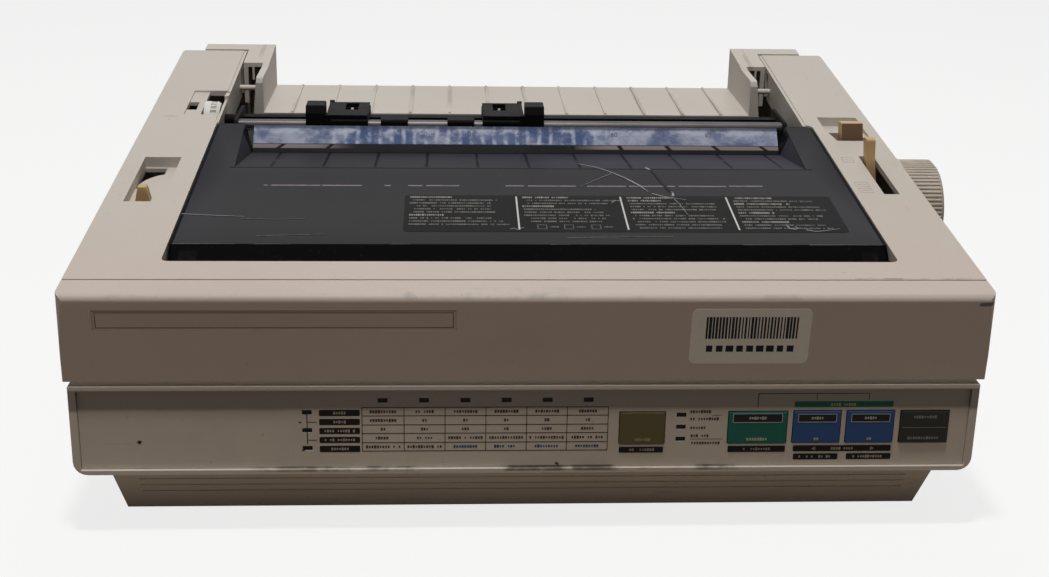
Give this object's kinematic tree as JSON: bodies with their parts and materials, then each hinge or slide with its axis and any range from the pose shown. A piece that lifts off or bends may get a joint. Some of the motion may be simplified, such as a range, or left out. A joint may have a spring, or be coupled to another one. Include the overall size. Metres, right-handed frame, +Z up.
{
  "type": "dot matrix printer",
  "caption": "Desktop dot matrix printer with smoked hinged cover, push tractors, lift-up ribbed paper guide, platen knob and front keys.",
  "frame": {"origin": "on the resting plane under the middle of the whole printer's box, platen knob included", "axes": "+X to the right along the platen, +Y to the back, +Z up"},
  "size_m": [0.4154, 0.3386, 0.1449],
  "materials": {
    "shell": "satin moulded",
    "panel": "printed panel",
    "smoked": "smoked gloss",
    "clear": "clear plastic",
    "black_plastic": "fine texture",
    "steel": "bright",
    "zinc_sheet": "plated sheet",
    "white_plastic": "natural",
    "rubber": "matt",
    "brass": "turned",
    "tan": "satin",
    "olive": "satin",
    "green": "satin",
    "blue": "satin",
    "grey": "satin",
    "lamp": "unlit lens",
    "board": "lacquered",
    "painted": "grey"
  },
  "bodies": {
    "case": {"lower_case": "shell", "rubber_feet": "rubber", "upper_case": "shell", "control_panel": "panel", "panel_board": "board", "indicator_lamps": "lamp", "left_side_frame": "zinc_sheet", "right_side_frame": "zinc_sheet", "paper_chute": "black_plastic", "tractor_rod": "steel", "feed_motor": "painted", "carriage_rods": "steel", "carriage_motor": "painted", "drive_belt": "rubber", "main_board": "board", "transformer": "painted", "power_switch": "black_plastic", "mains_inlet": "black_plastic", "interface_port": "steel", "case_screws": "steel"},
    "front_cover": {"front_cover": "smoked", "rule_strip": "clear"},
    "paper_guide": {"paper_guide": "shell"},
    "platen": {"platen_shaft": "steel", "platen_roller": "rubber", "platen_knob": "shell", "platen_gear": "white_plastic"},
    "idler_a": {"idler_gear_a": "white_plastic"},
    "idler_b": {"idler_gear_b": "white_plastic"},
    "feed_pinion": {"feed_pinion": "brass"},
    "tractor_shaft": {"tractor_shaft": "steel", "tractor_gear": "white_plastic"},
    "left_tractor": {"left_tractor": "black_plastic"},
    "left_tractor_door": {"left_tractor_door": "black_plastic"},
    "left_tractor_lock": {"left_tractor_lock": "black_plastic"},
    "left_pin_wheel": {"left_pin_wheel": "white_plastic"},
    "right_tractor": {"right_tractor": "black_plastic"},
    "right_tractor_door": {"right_tractor_door": "black_plastic"},
    "right_tractor_lock": {"right_tractor_lock": "black_plastic"},
    "right_pin_wheel": {"right_pin_wheel": "white_plastic"},
    "left_paper_support": {"left_paper_support": "black_plastic"},
    "right_paper_support": {"right_paper_support": "black_plastic"},
    "carriage": {"carriage": "black_plastic", "print_head": "painted", "ribbon_cartridge": "black_plastic"},
    "drive_pulley": {"drive_pulley": "steel"},
    "idler_pulley": {"idler_pulley": "black_plastic"},
    "thickness_lever": {"thickness_lever": "tan"},
    "release_lever": {"release_lever": "tan"},
    "feed_lever": {"feed_lever": "tan"},
    "olive_key": {"olive_key": "olive"},
    "green_key": {"green_key": "green"},
    "left_blue_key": {"left_blue_key": "blue"},
    "right_blue_key": {"right_blue_key": "blue"},
    "grey_key": {"grey_key": "grey"},
    "switch_rocker": {"switch_rocker": "black_plastic"}
  },
  "joints": [
    {"name": "cover_hinge", "type": "hinge", "parent": "case", "child": "front_cover", "pos_m": [-0.01065, 0.0278, 0.12673], "axis": [-1, 0, 0], "range_deg": [0, 78]},
    {"name": "guide_hinge", "type": "hinge", "parent": "case", "child": "paper_guide", "pos_m": [0, 0.1215, 0.129], "axis": [1, 0, 0], "range_deg": [0, 60]},
    {"name": "platen_spin", "type": "hinge", "parent": "case", "child": "platen", "pos_m": [0, 0.0005, 0.096], "axis": [1, 0, 0], "continuous": true},
    {"name": "idler_a_spin", "type": "hinge", "parent": "case", "child": "idler_a", "pos_m": [-0.17575, 0.02481, 0.1063], "axis": [1, 0, 0], "continuous": true},
    {"name": "idler_b_spin", "type": "hinge", "parent": "case", "child": "idler_b", "pos_m": [-0.17575, 0.04516, 0.1106], "axis": [1, 0, 0], "continuous": true},
    {"name": "feed_pinion_spin", "type": "hinge", "parent": "case", "child": "feed_pinion", "pos_m": [-0.17575, -0.00829, 0.07715], "axis": [1, 0, 0], "continuous": true},
    {"name": "tractor_shaft_spin", "type": "hinge", "parent": "case", "child": "tractor_shaft", "pos_m": [-0.17575, 0.0585, 0.1255], "axis": [1, 0, 0], "continuous": true},
    {"name": "left_tractor_slide", "type": "slide", "parent": "case", "child": "left_tractor", "axis": [1, 0, 0], "range_m": [-0.034, 0.003]},
    {"name": "left_door_hinge", "type": "hinge", "parent": "left_tractor", "child": "left_tractor_door", "pos_m": [-0.11205, 0.0535, 0.1331], "axis": [0, -1, 0], "range_deg": [0, 90]},
    {"name": "left_lock_hinge", "type": "hinge", "parent": "left_tractor", "child": "left_tractor_lock", "pos_m": [-0.11835, 0.0435, 0.1272], "axis": [-1, 0, 0], "range_deg": [0, 35]},
    {"name": "left_pin_wheel_spin", "type": "hinge", "parent": "left_tractor", "child": "left_pin_wheel", "pos_m": [-0.10235, 0.0585, 0.1255], "axis": [1, 0, 0], "continuous": true},
    {"name": "right_tractor_slide", "type": "slide", "parent": "case", "child": "right_tractor", "axis": [1, 0, 0], "range_m": [-0.0015, 0.125]},
    {"name": "right_door_hinge", "type": "hinge", "parent": "right_tractor", "child": "right_tractor_door", "pos_m": [-0.00805, 0.0535, 0.1331], "axis": [0, 1, 0], "range_deg": [0, 90]},
    {"name": "right_lock_hinge", "type": "hinge", "parent": "right_tractor", "child": "right_tractor_lock", "pos_m": [-0.00175, 0.0435, 0.1272], "axis": [-1, 0, 0], "range_deg": [0, 35]},
    {"name": "right_pin_wheel_spin", "type": "hinge", "parent": "right_tractor", "child": "right_pin_wheel", "pos_m": [-0.01775, 0.0585, 0.1255], "axis": [1, 0, 0], "continuous": true},
    {"name": "left_support_slide", "type": "slide", "parent": "case", "child": "left_paper_support", "axis": [1, 0, 0], "range_m": [-0.003, 0.01]},
    {"name": "right_support_slide", "type": "slide", "parent": "case", "child": "right_paper_support", "axis": [1, 0, 0], "range_m": [-0.01, 0.0025]},
    {"name": "carriage_travel", "type": "slide", "parent": "case", "child": "carriage", "axis": [1, 0, 0], "range_m": [0, 0.2]},
    {"name": "drive_pulley_spin", "type": "hinge", "parent": "case", "child": "drive_pulley", "pos_m": [0.11525, -0.0775, 0.07], "axis": [0, 0, 1], "continuous": true},
    {"name": "idler_pulley_spin", "type": "hinge", "parent": "case", "child": "idler_pulley", "pos_m": [-0.14075, -0.0775, 0.07], "axis": [0, 0, 1], "continuous": true},
    {"name": "thickness_lever_turn", "type": "hinge", "parent": "case", "child": "thickness_lever", "pos_m": [-0.17625, -0.0508, 0.12287], "axis": [0, -0.0995, 0.995], "range_deg": [-40, 0]},
    {"name": "release_lever_swing", "type": "hinge", "parent": "case", "child": "release_lever", "pos_m": [0.16685, -0.0385, 0.074], "axis": [1, 0, 0], "range_deg": [0, 36]},
    {"name": "feed_lever_swing", "type": "hinge", "parent": "case", "child": "feed_lever", "pos_m": [0.16655, 0.0185, 0.092], "axis": [-1, 0, 0], "range_deg": [0, 10]},
    {"name": "olive_key_press", "type": "slide", "parent": "case", "child": "olive_key", "axis": [0, 1, 0], "range_m": [0, 0.0012], "stiffness_N_per_m": 400},
    {"name": "green_key_press", "type": "slide", "parent": "case", "child": "green_key", "axis": [0, 1, 0], "range_m": [0, 0.0012], "stiffness_N_per_m": 400},
    {"name": "left_blue_key_press", "type": "slide", "parent": "case", "child": "left_blue_key", "axis": [0, 1, 0], "range_m": [0, 0.0012], "stiffness_N_per_m": 400},
    {"name": "right_blue_key_press", "type": "slide", "parent": "case", "child": "right_blue_key", "axis": [0, 1, 0], "range_m": [0, 0.0012], "stiffness_N_per_m": 400},
    {"name": "grey_key_press", "type": "slide", "parent": "case", "child": "grey_key", "axis": [0, 1, 0], "range_m": [0, 0.0012], "stiffness_N_per_m": 400},
    {"name": "power_rocker_tilt", "type": "hinge", "parent": "case", "child": "switch_rocker", "pos_m": [0.17655, 0.1225, 0.05], "axis": [0, 0, -1], "range_deg": [0, 16]}
  ],
  "couplings": [
    {"joint": "idler_a_spin", "follows": "platen_spin", "ratio": -1.5385},
    {"joint": "idler_b_spin", "follows": "platen_spin", "ratio": 1.5385},
    {"joint": "feed_pinion_spin", "follows": "platen_spin", "ratio": -3.3333},
    {"joint": "tractor_shaft_spin", "follows": "platen_spin", "ratio": -1.6667},
    {"joint": "left_pin_wheel_spin", "follows": "platen_spin", "ratio": -1.6667},
    {"joint": "right_pin_wheel_spin", "follows": "platen_spin", "ratio": -1.6667},
    {"joint": "drive_pulley_spin", "follows": "carriage_travel", "rad_per_m": -166.67},
    {"joint": "idler_pulley_spin", "follows": "carriage_travel", "rad_per_m": -166.67}
  ]
}
